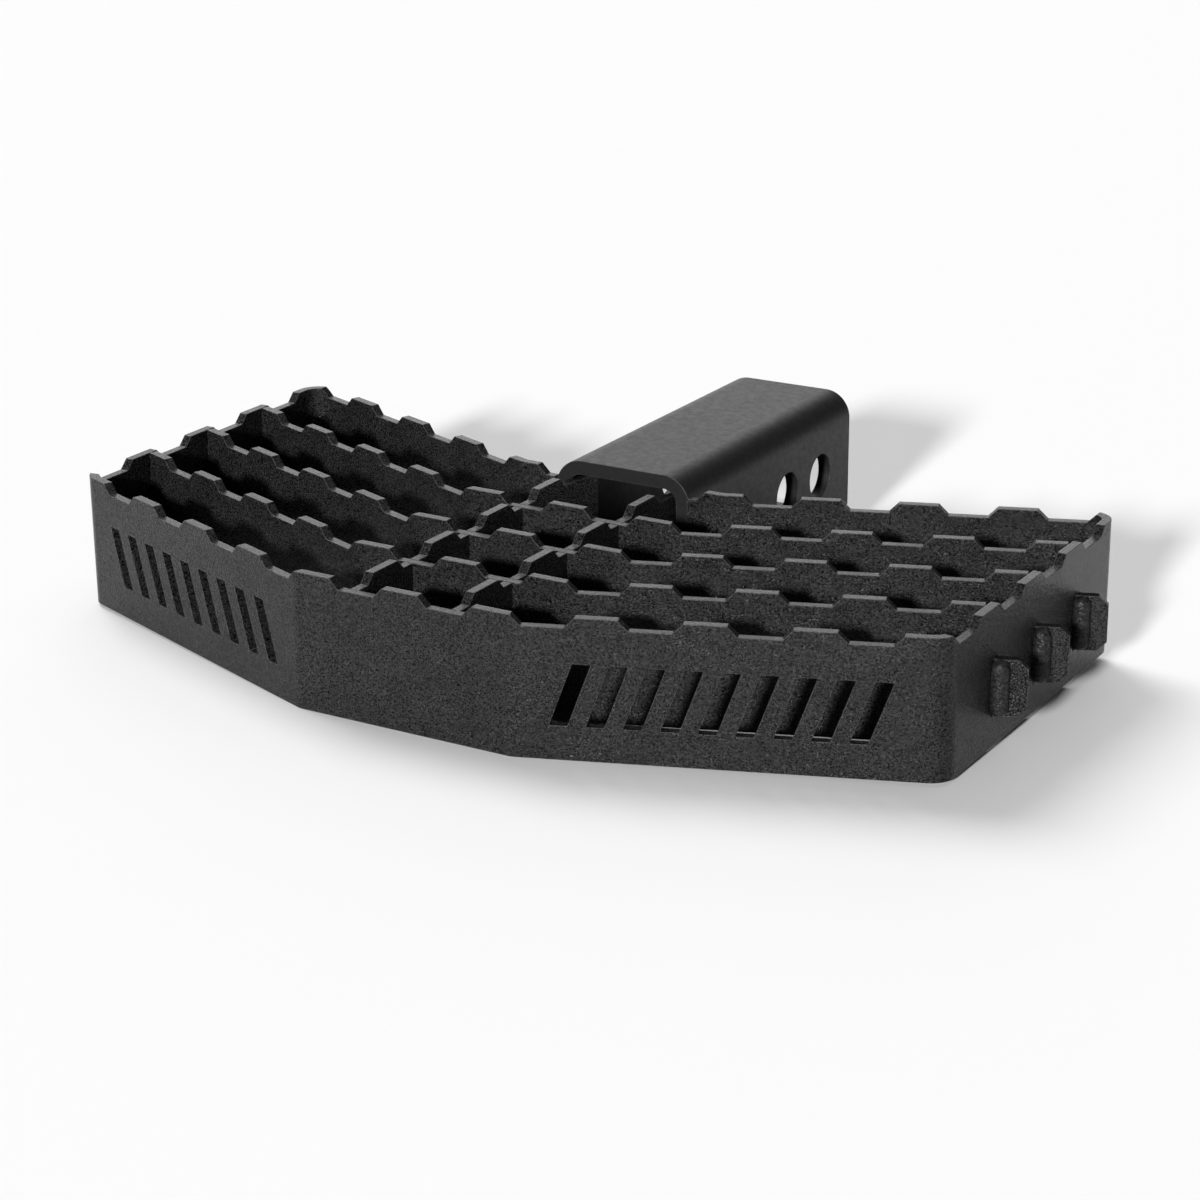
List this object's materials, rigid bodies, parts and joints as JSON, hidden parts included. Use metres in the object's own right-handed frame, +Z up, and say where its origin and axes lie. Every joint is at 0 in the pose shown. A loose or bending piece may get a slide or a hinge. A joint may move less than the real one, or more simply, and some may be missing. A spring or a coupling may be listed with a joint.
{
  "type": "hitch receiver step",
  "caption": "Welded steel step for a hitch receiver: toothed bars and ribs in a toothed band, swept back at both ends, on a square tube with cross holes for the hitch pin.",
  "frame": {"origin": "centre of the hitch pin hole nearest the receiver tube's free end, on the tube's axis", "axes": "+X to the right along the pin hole, +Y along the tube towards the vehicle, +Z up; the step's front faces -Y"},
  "size_m": [0.3348, 0.251, 0.0508],
  "materials": {
    "textured_coat": "fine textured black powder coat, satin",
    "satin_coat": "smooth black powder coat, satin",
    "weld_coat": "black powder coat over a weld bead"
  },
  "bodies": {
    "root": {"outer_band": "textured_coat", "bar_front": "textured_coat", "bar_middle": "textured_coat", "bar_rear": "textured_coat", "rib_left": "textured_coat", "rib_right": "textured_coat", "receiver_tube": "satin_coat", "tab_weld_left_front": "weld_coat", "tab_weld_left_middle": "weld_coat", "tab_weld_left_rear": "weld_coat", "tab_weld_right_front": "weld_coat", "tab_weld_right_middle": "weld_coat", "tab_weld_right_rear": "weld_coat", "tube_weld_left": "weld_coat", "tube_weld_right": "weld_coat"}
  },
  "joints": []
}
